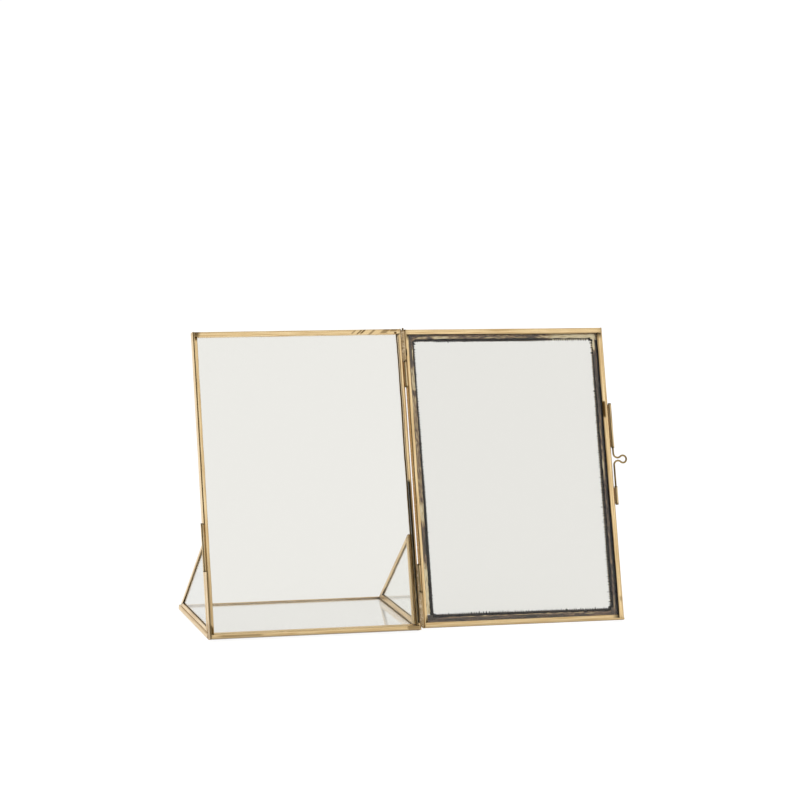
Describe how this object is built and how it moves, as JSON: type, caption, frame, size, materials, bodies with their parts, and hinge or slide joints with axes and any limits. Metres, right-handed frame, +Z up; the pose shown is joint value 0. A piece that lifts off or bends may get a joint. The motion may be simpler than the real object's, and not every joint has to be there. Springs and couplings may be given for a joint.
{
  "type": "photo frame",
  "caption": "Glass photo frame edged in antiqued brass, leaning on a glass stand, with a hinged glass front that opens like a door and a sliding wire latch.",
  "frame": {"origin": "middle of the underside of the base's front came, on the table", "axes": "+X to the viewer's right along the frame's width, +Y back under the stand, +Z up; the front faces -Y"},
  "size_m": [0.2843, 0.0894, 0.1837],
  "materials": {
    "brass": "antiqued",
    "wire": "dark antiqued",
    "glass": "clear float"
  },
  "bodies": {
    "frame": {"pane_glass": "glass", "pane_stile_left": "brass", "pane_stile_right": "brass", "pane_rail_top": "brass", "pane_rail_bottom": "brass", "base_glass": "glass", "base_came_front": "brass", "base_came_back": "brass", "base_came_left": "brass", "base_came_right": "brass", "side_glass_left": "glass", "side_came_foot_left": "brass", "side_came_rear_left": "brass", "side_came_front_left": "brass", "side_glass_right": "glass", "side_came_foot_right": "brass", "side_came_rear_right": "brass", "side_came_front_right": "brass", "hinge_upper_knuckle_fixed": "brass", "hinge_lower_knuckle_fixed": "brass", "hinge_upper_pin": "wire", "hinge_lower_pin": "wire", "latch_keeper": "brass"},
    "door": {"door_glass": "glass", "door_stile_hinge": "brass", "door_stile_latch": "brass", "door_rail_top": "brass", "door_rail_bottom": "brass", "hinge_upper_knuckle_door": "brass", "hinge_lower_knuckle_door": "brass", "latch_guide_upper": "brass", "latch_guide_lower": "brass"},
    "bolt": {"latch_bolt": "wire"}
  },
  "joints": [
    {"name": "door_hinge", "type": "hinge", "parent": "frame", "child": "door", "pos_m": [0.06853, 0.02137, 0.09211], "axis": [0, -0.3173, -0.9483], "range_deg": [0, 181.8]},
    {"name": "latch_slide", "type": "slide", "parent": "door", "child": "bolt", "axis": [0, -0.3173, -0.9483], "range_m": [-0.0025, 0.0128]}
  ]
}
